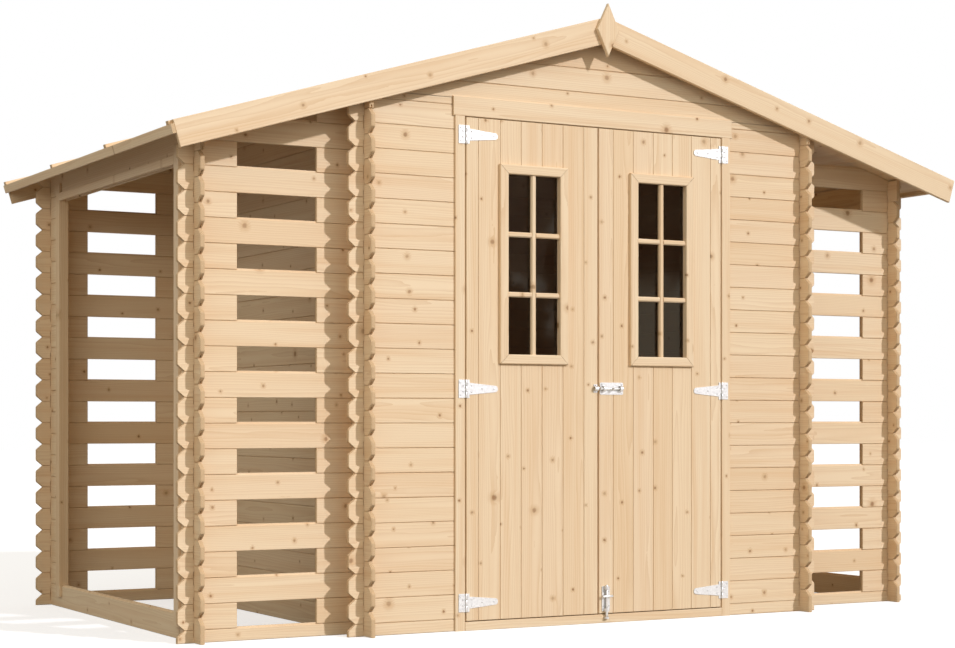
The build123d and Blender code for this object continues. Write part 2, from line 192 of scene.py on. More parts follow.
axesOf = {
    "front": ((1, 0, 0), (0, 0, 1), (0, 1, 0)),  # outline in X and Z, depth along Y
    "side": ((0, 1, 0), (0, 0, 1), (1, 0, 0)),   # outline in Y and Z, depth along X
    "plan": ((1, 0, 0), (0, 1, 0), (0, 0, 1)),   # outline in X and Y, depth along Z
}


class SolidSet:
    # closed solids of one piece: boards with their grain and tone, or plates, turned parts, screws
    def __init__(self, seed=0):
        self.random = np.random.default_rng(seed)
        self.points, self.faces, self.index, self.grain, self.tone, self.smooth = [], [], [], [], [], []
        self.count = 0

    def take(self, points, blocks, index=(), grain=None, tone=None, smooth=False):
        # a block is an array of faces that have the same number of corners
        for block in blocks:
            self.faces += (np.asarray(block) + self.count).tolist()
            self.smooth += [smooth] * len(block)
        self.index += list(index)
        self.points.append(points)
        self.count += len(points)
        if grain is not None:
            self.grain.append(grain)
            self.tone.append(np.full(len(points), tone))

    def add(self, outline, near, far, axes="front", along="u", ease=0.0, origin=(0, 0, 0), joint=0.0,
            tongue=None, tone=None, chamfer=0.0):
        # a plain board is one solid; a jointed one has a front and a back layer drawn in by half
        # the joint's width, and between them the tongue that keeps the light out; a chamfered one
        # is a section, with the grain along its depth
        outline = counterClockwise(outline)
        if chamfer:
            outline, along, ease = chamferCorners(outline, chamfer), "w", 0
        draw = (self.random.uniform(-1, 1, 3), self.random.uniform() if tone is None else tone)
        centre = np.append(outline.mean(0), (near + far) / 2)
        drawn, face = (inset(outline, joint / 2) if joint else outline), inset(outline, joint / 2 + ease)
        layers = [[(outline, near), (outline, far)]]
        if joint:
            third = (far - near) / 3
            middle = outline if tongue is None else counterClockwise(tongue)
            layers = [[(face, near), (drawn, near + ease), (drawn, near + third)],
                      [(middle, near + third), (middle, far - third)],
                      [(drawn, far - third), (drawn, far - ease), (face, far)]]
        elif ease:
            layers = [[(face, near), (drawn, near + ease), (drawn, far - ease), (face, far)]]
        for rings in layers:
            self.solid(rings, axes, along, origin, centre, draw)

    def solid(self, rings, axes, along, origin, centre, draw):
        # rings of the same number of corners, joined by quads and closed by two caps
        u, v, w = (np.array(a, dtype=float) for a in (axesOf[axes] if isinstance(axes, str) else axes))
        corners = len(rings[0][0])
        local = np.concatenate([np.column_stack([o, np.full(corners, d)]) for o, d in rings])
        placed = np.asarray(origin) + local[:, :1] * u + local[:, 1:2] * v + local[:, 2:] * w
        blocks = tubeFaces(len(rings), corners)
        if np.dot(np.cross(u, v), w) < 0:
            blocks = [block[:, ::-1] for block in blocks]
        edge, length = edgesOf(rings[len(rings) // 2][0])
        inLine = np.abs(edge / np.maximum(length, 1e-6))
        ends = {"u": inLine[:, 0] < endCosine, "v": inLine[:, 1] < endCosine, "w": np.zeros(corners, bool)}
        index = np.tile(ends[along].astype(int), len(rings) - 1).tolist() + [int(along == "w")] * 2
        order = {"u": (0, 1, 2), "v": (1, 0, 2), "w": (2, 0, 1)}[along]
        grain = (local - centre)[:, order] + draw[0] * grainShift
        self.take(placed, blocks, index, grain / 1000, draw[1])

    def lathe(self, profile, centre, axis, segments=24):
        # a profile of (height along the axis, radius) turned once round it
        profile = np.asarray(profile, dtype=float)
        w = np.array(axis, dtype=float)
        u = np.array((0, 0, 1.0) if abs(w[2]) < 0.5 else (1.0, 0, 0))
        v = np.cross(w, u)
        angle = np.linspace(0, 2 * math.pi, segments, endpoint=False)
        ring = np.cos(angle)[:, None] * u + np.sin(angle)[:, None] * v
        points = np.asarray(centre) + profile[:, None, :1] * w + profile[:, None, 1:] * ring[None]
        self.take(points.reshape(-1, 3), tubeFaces(len(profile), segments)[:1], smooth=True)
        loop = np.arange(segments)
        self.take(points[0], [[loop[::-1]]])
        self.take(points[-1], [[loop]])

    def screw(self, x, z, radius, rings=9, spokes=32, dome=1.7, recess=0.9, recessHalf=0.55):
        # pan head with a cross recess: height over a polar grid is the dome, less the recess
        r = np.linspace(0.02, 1, rings)[:, None] * radius
        a = np.linspace(0, 2 * math.pi, spokes, endpoint=False)[None]
        px, pz = r * np.cos(a), r * np.sin(a)
        high = dome * np.sqrt(np.clip(1 - (r / (radius * 1.02)) ** 2, 0, 1)) + 0 * a
        nearer, further = np.minimum(np.abs(px), np.abs(pz)), np.maximum(np.abs(px), np.abs(pz))
        high = np.where((nearer < recessHalf) & (further < radius * 0.6), high - recess, high)
        points = np.stack([x + px, plateFront - high, z + pz], -1).reshape(-1, 3)
        self.take(points, tubeFaces(rings, spokes))

    def finish(self, name, body="shed", slotName="pine"):
        mesh = bpy.data.meshes.new(name)
        mesh.from_pydata((np.concatenate(self.points) / 1000).tolist(), [], self.faces)
        for material in finishes[slotName]:
            mesh.materials.append(material)
        mesh.polygons.foreach_set("use_smooth", self.smooth)
        if slotName == "pine":
            mesh.polygons.foreach_set("material_index", self.index)
            grain, tone = (np.concatenate(values).astype(np.float32) for values in (self.grain, self.tone))
            mesh.attributes.new("grainAt", "FLOAT_VECTOR", "POINT").data.foreach_set("vector", grain.ravel())
            mesh.attributes.new("boardTone", "FLOAT", "POINT").data.foreach_set("value", tone)
        mesh.update()
        piece = putInScene(name, mesh)
        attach(piece, body)
        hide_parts(name)


def singleBoard(name, seed, *shape, **edges):
    boards = SolidSet(seed)
    boards.add(*shape, **edges)
    boards.finish(name)


# Planed spruce, unpainted: pale straw, a little pinker or yellower from board to board, growth
# rings drawn out along the board, soft brown knots and a dull planed surface
pineLook = {
    "boards": ["#ecd5b1", "#ead1ab", "#ead1ad", "#e6caa2"],
    "streak": "#dfbc90",
    "ring": "#c99f6e",
    "knot": "#8a6038",
    "knotRim": "#c39866",
    "knotRimShare": 0.42,
    "ringEvery": 6.0,           # mm; real rings of 1 to 3 mm are too fine to show
    "ringBend": (700, 60, 60),  # mm along, across and deep: how slowly the rings bend
    "fibreSize": (160, 2.6, 2.6),
    "streakSize": (900, 30, 30),
    "knotCell": (230.0, 88.0),  # mm along and across for each place a knot may have
    "knotShare": 0.6,
    "knotRadius": (3.2, 9.5),
    "knotWander": 6.0,          # mm that a knot's edge wanders in all
    "roughness": (0.56, 0.7),
}


def perSize(*sizes):
    # metres to pattern units: one over the pattern's real size in mm in each direction
    return tuple(1000 / size for size in sizes)


def ringScale(every):
    # a wave pattern's scale for rings that many mm apart: at 1 they are 2 pi / 20 m apart
    return 100 * math.pi / every


def spruceNodes(add):
    look = pineLook
    place = add("Attribute", attribute_name="grainAt").outputs["Vector"]
    tone = add("Attribute", attribute_name="boardTone").outputs["Fac"]

    # knots: a cell pattern gives each place its centre, and the way to it is turned back into
    # metres, so that a knot stays round in a stretched cell
    along, across = look["knotCell"]
    cells = add("Mapping", {"Vector": place, "Scale": perSize(along, across, 400)})
    knots = add("TexVoronoi", {"Vector": cells, "Scale": 1.0, "Randomness": 0.85}, voronoi_dimensions="2D")
    offset = add("VectorMath", [knots.outputs["Position"], cells], operation="SUBTRACT")
    real = add("VectorMath", [offset, (along / 1000, across / 1000, 0.0)], operation="MULTIPLY")
    distance = add("VectorMath", [real], operation="LENGTH")
    wobble = add("TexNoise", {"Vector": place, "Scale": 110.0, "Detail": 2.0})
    wander = look["knotWander"] / 1000
    away = add("Math", [wobble, wander, distance], operation="MULTIPLY_ADD")
    away = add("Math", [away, wander / 2], operation="SUBTRACT")
    chance = add("SeparateColor", [knots.outputs["Color"]])
    present = add("Math", [chance.outputs[0], look["knotShare"]], operation="LESS_THAN")
    # radius: smallest plus the spread times a random number's cube, so that few are large
    cube = add("Math", [chance.outputs[1], 3.0], operation="POWER")
    small, large = look["knotRadius"]
    radius = add("Math", [cube, (large - small) / 1000, small / 1000], operation="MULTIPLY_ADD")
    ratio = add("Math", [away, radius], operation="DIVIDE")
    masks = []
    for fades, full in ((1.5, 0.5), (3.8, 0.9)):  # in radii: the knot, and the darker wood round it
        mask = add("MapRange", [ratio, fades, full, 0.0, 1.0], interpolation_type="SMOOTHSTEP")
        masks.append(add("Math", [mask, present], operation="MULTIPLY"))
    core, rim = masks

    noises = []
    for key, detail, rough in (("ringBend", 2.0, 0.5), ("fibreSize", 4.0, 0.6), ("streakSize", 3.0, 0.5)):
        stretched = add("Mapping", {"Vector": place, "Scale": perSize(*look[key])})
        noise = {"Vector": stretched, "Scale": 1.0, "Detail": detail, "Roughness": rough}
        noises.append(add("TexNoise", noise))
    slow, fibre, streak = noises

    # growth rings: bands by distance from a line along the board, bent slowly by up to 30 mm, and
    # by 8 mm round knots
    bend = add("VectorMath", [slow.outputs["Color"], (0.0, 0.03, 0.03), place], operation="MULTIPLY_ADD")
    aside = add("Math", [rim, 0.008], operation="MULTIPLY")
    swirl = add("CombineXYZ", {"Y": aside})
    bent = add("VectorMath", [bend, swirl], operation="ADD")
    wave = {"Vector": bent, "Scale": ringScale(look["ringEvery"]), "Distortion": 0.6, "Detail": 2.0,
            "Detail Scale": 0.6}
    rings = add("TexWave", wave, wave_type="RINGS", rings_direction="X", wave_profile="SAW")
    rings = rings.outputs["Fac"]
    late = add("Math", [rings, 2.0], operation="POWER")

    # colour: the board's own, then streaks, rings where the fibres show them, knot rim, knot
    shown = add("Math", [fibre, 0.42, 0.12], operation="MULTIPLY_ADD")
    depth = add("Math", [chance.outputs[2], 0.55, 0.3], operation="MULTIPLY_ADD")
    colour = add("ValToRGB", [tone], list(zip((0.0, 0.4, 0.7, 1.0), look["boards"])))
    shares = {
        "streak": add("ValToRGB", [streak], [(0.44, 0.0), (0.72, 0.6)]),
        "ring": add("Math", [late, shown], operation="MULTIPLY"),
        "knotRim": add("Math", [rim, look["knotRimShare"]], operation="MULTIPLY"),
        "knot": add("Math", [core, depth], operation="MULTIPLY"),
    }
    for layer, share in shares.items():
        colour = add("Mix", {0: share, 6: colour, 7: hexLinear(look[layer])}, data_type="RGBA")

    height = add("Math", [rings, 0.6, fibre], operation="MULTIPLY_ADD")
    bump = add("Bump", {"Height": height, "Strength": 0.16, "Distance": 0.0006})
    shine = add("ValToRGB", [fibre], list(zip((0.3, 0.7), look["roughness"])))
    return add("BsdfPrincipled", {
        "Base Color": colour, "Roughness": shine, "Normal": bump, "IOR": 1.45, "Specular IOR Level": 0.35})


def endGrainNodes(add):
    # Sawn end grain of spruce: a shade darker than the faces, curved growth rings, rough fibres
    place = add("Attribute", attribute_name="grainAt").outputs["Vector"]
    wander = add("TexNoise", {"Vector": place, "Scale": 14.0, "Detail": 1.0})
    bend = add("VectorMath", [wander.outputs["Color"], (0.0, 0.02, 0.02), place], operation="MULTIPLY_ADD")
    rings = add("TexWave", {"Vector": bend, "Scale": ringScale(3.2), "Distortion": 1.2},
                wave_type="RINGS", rings_direction="X").outputs["Fac"]
    pores = add("TexNoise", {"Vector": place, "Scale": 900.0, "Detail": 3.0})  # about 1 mm
    colour = add("ValToRGB", [rings], [(0.0, "#e6cba2"), (0.6, "#dfbf94"), (1.0, "#c9a173")])
    dusted = add("Mix", {0: 0.25, 6: colour, 7: pores}, data_type="RGBA", blend_type="MULTIPLY")
    bump = add("Bump", {"Height": pores, "Strength": 0.3, "Distance": 0.0008})
    return add("BsdfPrincipled", {
        "Base Color": dusted, "Normal": bump, "Roughness": 0.8, "IOR": 1.45, "Specular IOR Level": 0.25})


def zincNodes(add):
    # Zinc-plated pressed steel: light grey, satin, faintly mottled by the plating, every 6 mm
    place = add("TexCoord").outputs["Object"]
    mottle = add("TexNoise", {"Vector": place, "Scale": 160.0, "Detail": 4.0})
    colour = add("ValToRGB", [mottle], [(0.3, "#c9c9c7"), (0.7, "#dcdbd8")])
    shine = add("ValToRGB", [mottle], [(0.3, 0.42), (0.7, 0.54)])
    bump = add("Bump", {"Height": mottle, "Strength": 0.08, "Distance": 0.0003})
    return add("BsdfPrincipled", {
        "Base Color": colour, "Roughness": shine, "Normal": bump, "Metallic": 1.0})


def glassNodes(add):
    # Float glass, 4 mm, tinted brown: the tint is painted shade that darkens the view into the shed, on top
    # of the real shade inside it
    place = add("TexCoord").outputs["Object"]
    smear = add("TexNoise", {"Vector": place, "Scale": 9.0, "Detail": 3.0})  # about 11 cm
    shine = add("ValToRGB", [smear], [(0.35, 0.0), (0.75, 0.04)])
    return add("BsdfPrincipled", {
        # the brown base colour tints all light through the pane: painted shade for the dark inside of the
        # shed
        "Base Color": hexLinear("#a29282"), "Roughness": shine, "Transmission Weight": 1.0, "IOR": 1.5})


finishes = {
    "pine": (newMaterial("planedSpruce", spruceNodes), newMaterial("spruceEndGrain", endGrainNodes)),
    "zinc": (newMaterial("zincPlatedSteel", zincNodes),),
    "glass": (newMaterial("floatGlass", glassNodes),),
}
print("materials made")

# how the log boards meet in a wall
jointLook = {
    "ease": 1.5,    # eased edges of a board's faces
    "joint": 1.7,   # width of the open joint between two boards
    "tongue": 5.0,  # how far the tongue stands up into the next board
    "void": 6.0,    # how much deeper its groove is
    "corner": 5.0,  # rounding of the tips' corners
    "least": 9.0,   # a board that the roof cuts lower than this is left out
}


def logOutline(ends, low, high, columns, lift=0.0):
    # one log board in its wall's plane: softened chamfered tips, and notches a quarter of a course
    # deep from its edges wherever another wall crosses; the tongue's layer is lifted
    start, end, startTip, endTip = ends
    run, rise = shed["tipRun"], shed["tipRise"]
    quarter = shed["course"] / 4
    half = shed["board"] / 2
    base, top = low + (lift + jointLook["void"] if lift and low > 0 else 0), high + lift
    lean = run / rise * lift
    notched, upper = [], []
    for column in sorted(columns):
        a, b = column - half, column + half
        if low > 0:
            notched += [(a, base), (a, low + quarter), (b, low + quarter), (b, base)]
        upper += [(a, top), (a, high - quarter), (b, high - quarter), (b, top)]
    left, right = [(start, top), (start, base)], [(end, base), (end, top)]
    if startTip:
        left = [(start + run + lean, top), (start, high - rise)]
        left += [(start, low + rise), (start + run - lean, base)] if low > 0 else [(start, base)]
    if endTip:
        right = [(end - run + lean, base), (end, low + rise)] if low > 0 else [(end, base)]
        right += [(end, high - rise), (end - run - lean, top)]
    soft = [startTip and base < z < top for _, z in left] + [False] * len(notched)
    soft += [endTip and base < z < top for _, z in right] + [False] * len(upper)
    points = np.array(left + notched + right + upper[::-1], dtype=float)
    return soften(points, np.array(soft), jointLook["corner"])


def addLog(boards, ends, low, high, columns, near, axes, trimmed):
    # a log board with its tongue lifted into the board above; trimmed cuts both to the roof line
    look = jointLook
    inside = [c for c in columns if ends[0] < c < ends[1]]
    outline, tongue = (trimmed(logOutline(ends, low, high, inside, lift)) for lift in (0.0, look["tongue"]))
    if len(outline) > 2 and len(tongue) > 2 and np.ptp(outline[:, 1]) > look["least"]:
        boards.add(outline, near, near + shed["board"], axes, ease=look["ease"], joint=look["joint"],
                   tongue=tongue)


def underRoof(outline):
    for side in (-1, 1):
        if len(outline) > 2:
            outline = cutUnder(outline, lambda p: underRidge - side * p[:, 0] * slope - p[:, 1])
    return outline


def crossWall(name, seed, y, ends, columns, low, high, slots=None):
    # wall of boards laid from side to side, the first one half a course high
    course = shed["course"]
    boards = SolidSet(seed)
    first = int(round(low / course + 0.5)) if low > 0 else 0
    for k in range(first, math.ceil(high / course + 0.5)):
        parts = [ends]
        if slots and k % 2 == 1:
            parts = [(ends[0], slots[0], ends[2], False), (slots[1], ends[1], False, ends[3])]
        foot, top = max((k - 0.5) * course, 0.0), (k + 0.5) * course
        for part in parts:
            addLog(boards, part, foot, top, columns, y, "front", underRoof)
    boards.finish(name)


def longWall(name, seed, side, xOut, boardsAt, columns):
    # boards laid from front to rear, each given as its two ends, low and high edge
    boards = SolidSet(seed)
    near = min(side * xOut, side * (xOut - shed["board"]))
    top = roofUnder(xOut) - shed["roofGap"]
    for ends, low, high in boardsAt:
        addLog(boards, ends, low, high, columns, near, "side",
               lambda outline: cutUnder(outline, lambda p: top - p[:, 1]))
    boards.finish(name)


def courses(ends, first, last):
    # boards of full height, one course on the other
    return [(ends, k * shed["course"], (k + 1) * shed["course"]) for k in range(first, last)]


doorway = {
    "half": 548.5,        # the middle of the front to a jamb's inner face
    "jamb": 38.0,
    "groove": 15.0,       # how far the wall's boards run into a jamb
    "height": 1790.0,
    "proud": 8.0,         # the frame before the wall
    "depth": 38.0,
    "header": 67.5,
    "headerLap": 8.0,     # the header board past the jambs
    "headJoint": 1827.5,  # joint of the log boards behind the header board
    "sill": 31.0,
    "edge": 1.5,
}
wallEnd = doorway["half"] + doorway["jamb"] - doorway["groove"]


def shedWalls():
    front, rear, headJoint = shed["frontY"], shed["rearY"], doorway["headJoint"]
    tip, column = shed["halfWidth"] + shed["tail"], shed["halfWidth"] - shed["board"] / 2
    across, sides = (-tip, tip, True, True), [-column, column]
    crossWall("front_wall_left", 11, front, (-tip, -wallEnd, True, False), sides[:1], 0, headJoint)
    crossWall("front_wall_right", 12, front, (wallEnd, tip, False, True), sides[1:], 0, headJoint)
    crossWall("front_gable", 13, front, across, sides, headJoint, underRidge)
    crossWall("rear_wall", 14, rear - shed["board"], across, sides, 0, underRidge)
    last = shed["sideCourses"]
    boardsAt = courses((front - shed["tail"], rear + shed["tail"], True, True), 0, last)
    boardsAt += courses((shed["roofFront"], shed["roofRear"], False, False), last, last + 1)
    columns = [front + shed["board"] / 2, rear - shed["board"] / 2]
    longWall("side_wall_left", 21, -1, shed["halfWidth"], boardsAt, columns)
    longWall("side_wall_right", 22, 1, shed["halfWidth"], boardsAt, columns)


store = {
    "slots": {"left": (-1357.0, -1070.0), "right": (1077.0, 1364.0)},  # in the slatted panels
    "frontSetback": {"left": 90.0, "right": 160.0},
    "rearSetback": 62.0,
    "returnLength": 102.0,
    "post": (38.0, 43.0),
    "groove": 15.0,
    "headZ": 1615.0,     # top of the side opening
    "topLog": 102.0,     # height of the log board over it
    "railHeight": 30.0,
    "railLap": 6.0,
    "edge": (1.5, 1.2),  # chamfers of the posts and of the head rail
}


def logStore(side, name, seed):
    tail, thick, headZ, groove = shed["tail"], shed["board"], store["headZ"], store["groove"]
    outer, column = shed["halfStore"], side * (shed["halfStore"] - shed["board"] / 2)
    front = shed["frontY"] + store["frontSetback"][name]
    rear = shed["rearY"] - store["rearSetback"] - thick
    (x0, tip0), (x1, tip1) = sorted(((side * (outer + tail), True), (side * shed["halfWidth"], False)))
    for place, y in (("front", front), ("rear", rear)):
        crossWall(f"{name}_{place}_panel", seed + (place == "rear"), y, (x0, x1, tip0, tip1), [column],
                  0, roofUnder(shed["halfWidth"]), store["slots"][name])
    columns = [front + thick / 2, rear + thick / 2]
    tips = (front - tail, rear + thick + tail)
    inner = (front + thick + store["returnLength"], rear - store["returnLength"])
    last = int(round(headZ / shed["course"]))
    longWall(f"{name}_bottom_rail", seed + 2, side, outer, courses((*tips, True, True), 0, 1), columns)
    longWall(f"{name}_top_log", seed + 3, side, outer,
             [((*tips, False, False), headZ, headZ + store["topLog"])], columns)
    longWall(f"{name}_front_return", seed + 4, side, outer,
             courses((tips[0], inner[0] + groove, True, False), 1, last), columns[:1])
    longWall(f"{name}_rear_return", seed + 5, side, outer,
             courses((inner[1] - groove, tips[1], False, True), 1, last), columns[1:])

    # posts: a grooved section, with only its two cheeks running on over the long logs
    wide, deep = store["post"]
    a, b, c, d = (column + x for x in (-wide / 2, -thick / 2, thick / 2, wide / 2))
    post, bar = store["edge"]
    halfCourse = shed["course"] / 2
    posts = SolidSet(seed + 6)
    for y, inward in ((inner[0], 1), (inner[1], -1)):
        floor, far = y + inward * groove, y + inward * deep
        section = [(a, y), (b, y), (b, floor), (c, floor), (c, y), (d, y), (d, far), (a, far)]
        posts.add(section, 2 * halfCourse, headZ, "plan", chamfer=post)
        for slot, outside in ((b, a), (c, d)):
            for low in (halfCourse, headZ):
                posts.add(rectangle(slot, outside, y, far), low, low + halfCourse, "plan", chamfer=post)
    posts.finish(f"{name}_posts")
    # head rail: a flat H section lapped over the top log's lower edge
    lap = store["railLap"]
    high = headZ + lap
    low = high - store["railHeight"]
    section = [(a, low), (b, low), (b, low + lap), (c, low + lap), (c, low), (d, low),
               (d, high), (c, high), (c, headZ), (b, headZ), (b, high), (a, high)]
    singleBoard(f"{name}_head_rail", seed + 7, section, inner[0] + deep, inner[1] - deep, chamfer=bar)


shedWalls()
logStore(-1, "left", 31)
logStore(1, "right", 51)
print("walls made")

roof = {
    "eaveEnd": 1639.0 / math.cos(shed["pitch"]),  # length of the bargeboards down the slope
    "barge": (91.0, 16.0),
    "batten": (22.0, 12.0),
    "battens": 4,
    "boardCover": 85.0,
    "leastBoard": 20.0,  # the last board at the eave isn't narrower
    "trim": (32.0, 12.0),
    "finial": (92.0, 190.0, 16.0, 2130.0),  # width, height, thickness, level of its middle
    "purlin": (40.0, 90.0),
    "purlinX": 470.0,
    "edge": 1.5,         # chamfer of purlins and trim
    "boardEdge": 1.4,    # and of the boards, which their joints show
}


def strip(top, low, end, start=None):
    # section between two drops below the bargeboards' top, cut plumb at the ridge
    a, b = (top * slope, low * slope) if start is None else (start, start)
    return [(a, -top), (end, -top), (end, -low), (b, -low)]


def makeRoof():
    peak = (0, 0, shed["ridge"])
    front, rear = shed["roofFront"], shed["roofRear"]
    bargeDeep, bargeThick = roof["barge"]
    battenWide, battenThick = roof["batten"]
    trimDeep, trimThick = roof["trim"]
    end = roof["eaveEnd"]
    c, s = math.cos(shed["pitch"]), math.sin(shed["pitch"])
    for side, name in ((-1, "left"), (1, "right")):
        # down the slope, square up out of the roof, and to the rear
        axes = ((side * c, 0, -s), (side * s, 0, c), (0, 1, 0))
        boards = SolidSet(70 + side)
        joints = np.append(np.arange(0, end - roof["leastBoard"], roof["boardCover"]), end)
        for i, (a, b) in enumerate(zip(joints, joints[1:])):
            section = strip(battenThick, shed["roofThick"], b, None if i == 0 else a)
            boards.add(section, front, rear, axes, origin=peak, chamfer=roof["boardEdge"])
        boards.finish(f"roof_{name}")
        battens = SolidSet(74 + side)
        for y in np.linspace(front, rear - battenWide, roof["battens"]):
            section = strip(0, battenThick, end + trimThick)
            battens.add(section, y, y + battenWide, axes, ease=1.2, origin=peak)
        battens.finish(f"{name}_roof_battens")
        # the right bargeboards cover the trim's ends; on the left the trim covers theirs
        cover, over = (trimThick, 0) if side > 0 else (0, bargeThick)
        section = rectangle(end, end + trimThick, -battenThick, -battenThick - trimDeep)
        singleBoard(f"{name}_eave_trim", 78 + side, section, front - over, rear + over, axes, origin=peak,
                    chamfer=roof["edge"])
        for y, place, seed in ((front - bargeThick, "front", 82), (rear, "rear", 87)):
            section = strip(0, bargeDeep, end + cover)
            singleBoard(f"{place}_bargeboard_{name}", seed + side, section, y, y + bargeThick, axes,
                        ease=1.8, origin=peak)
    purlins = SolidSet(90)
    wide, deep = roof["purlin"]
    for x in (-roof["purlinX"], 0.0, roof["purlinX"]):
        l, r = x - wide / 2, x + wide / 2
        low = roofUnder(x) - deep
        crown = [(0, underRidge)] if x == 0 else []
        section = [(l, low), (r, low), (r, roofUnder(r)), *crown, (l, roofUnder(l))]
        purlins.add(section, shed["frontY"] + shed["board"], shed["rearY"] - shed["board"],
                    chamfer=roof["edge"])
    purlins.finish("purlins")
    wide, high, thick, z = roof["finial"]
    face = front - bargeThick
    singleBoard("finial", 91, [(0, z + high / 2), (-wide / 2, z), (0, z - high / 2), (wide / 2, z)],
                face - thick, face, "front", "v", ease=2.0)


makeRoof()
print("roof made")

frameFront = shed["frontY"] - doorway["proud"]


def makeDoorFrame():
    d = doorway
    half, high, front = d["half"], d["height"], shed["frontY"]
    back, wallBack = frameFront + d["depth"], front + shed["board"]
    for side, name in ((-1, "door_jamb_left"), (1, "door_jamb_right")):
        inner, outer, slot = (side * x for x in (half, half + d["jamb"], wallEnd))
        section = [(inner, frameFront), (outer, frameFront), (outer, front), (slot, front),
                   (slot, wallBack), (outer, wallBack), (outer, back), (inner, back)]
        singleBoard(name, 95 + side, section, 0, high, "plan", chamfer=d["edge"])
    singleBoard("door_head", 98, rectangle(-wallEnd, wallEnd, high, d["headJoint"]), front, back, ease=0.8)
    reach = half + d["jamb"] + d["headerLap"]
    singleBoard("header_board", 99, rectangle(-reach, reach, high, high + d["header"]), frameFront, front,
                ease=1.8, tone=0.0)
    singleBoard("sill", 100, rectangle(-half, half, 0, d["sill"]), frameFront, back, ease=1.5)


makeDoorFrame()

leaf = {
    "gap": 5.0,
    "endGap": 2.5,          # the boards run nearer than that to the header and the sill
    "thick": 16.0,
    "joints": {
        "left": [-495.6, -407.5, -322.5, -236.4, -149.3, -61.2],
        "right": [64.0, 151.0, 239.0, 323.2, 408.8, 495.4],
    },
    "joint": 1.2,
    "ease": 1.4,
    "window": (212.0, 634.0),
    "windowDrop": 187.0,
    "moulding": (34.0, 12.0),
    "mouldingRound": 4.0,
    "mitre": 0.7,           # each mitred end stands back, for the fine line of the joint
    "bar": (18.0, 6.0),     # width, and how far it stands before the boards
    "barEdge": 4.0,
    "crossBarBack": 0.4,    # the cross bars lie that much further back
    "glass": 4.0,
    "ledge": (90.0, 16.0),  # on the inner face, at the hinges
    "ledgeInset": 40.0,
    "hingeLevels": (98.0, 842.0, 1726.0),
}
leafFoot, leafTop = doorway["sill"] + leaf["endGap"], doorway["height"] - leaf["endGap"]
leafWidth = doorway["half"] - 1.5 * leaf["gap"]
windowHigh = doorway["height"] - leaf["gap"] - leaf["windowDrop"]
windowLow = windowHigh - leaf["window"][1]


def makeLeaf(side, name):
    body = f"{name}_door"
    middle = side * (leaf["gap"] / 2 + leafWidth / 2)
    wl, wr = middle - leaf["window"][0] / 2, middle + leaf["window"][0] / 2
    back = frameFront + leaf["thick"]
    foot, top, low, high = leafFoot, leafTop, windowLow, windowHigh
    boards = SolidSet(110 + side)
    edges = [middle - leafWidth / 2, *leaf["joints"][name], middle + leafWidth / 2]
    for a, b in zip(edges, edges[1:]):
        outlines = [rectangle(a, b, foot, top)]
        if a >= wl and b <= wr:     # under and over the window
            outlines = [rectangle(a, b, foot, low), rectangle(a, b, high, top)]
        elif a < wl < b:            # beside it, with the right or the left edge cut out for it
            outlines = [[(a, foot), (b, foot), (b, low), (wl, low), (wl, high), (b, high), (b, top),
                         (a, top)]]
        elif a < wr < b:
            outlines = [[(a, foot), (b, foot), (b, top), (a, top), (a, high), (wr, high), (wr, low),
                         (a, low)]]
        for outline in outlines:
            boards.add(outline, frameFront, back, "front", "v", leaf["ease"], joint=leaf["joint"])
    boards.finish(f"{name}_leaf", body)
    ledges = SolidSet(114 + side)
    high, thick = leaf["ledge"]
    half = leafWidth / 2 - leaf["ledgeInset"]
    for z in leaf["hingeLevels"]:
        outline = rectangle(middle - half, middle + half, z - high / 2, z + high / 2)
        ledges.add(outline, back, back + thick, ease=3.0)
    ledges.finish(f"{name}_ledges", body)
    makeWindow(name, body, middle, 118 + side)


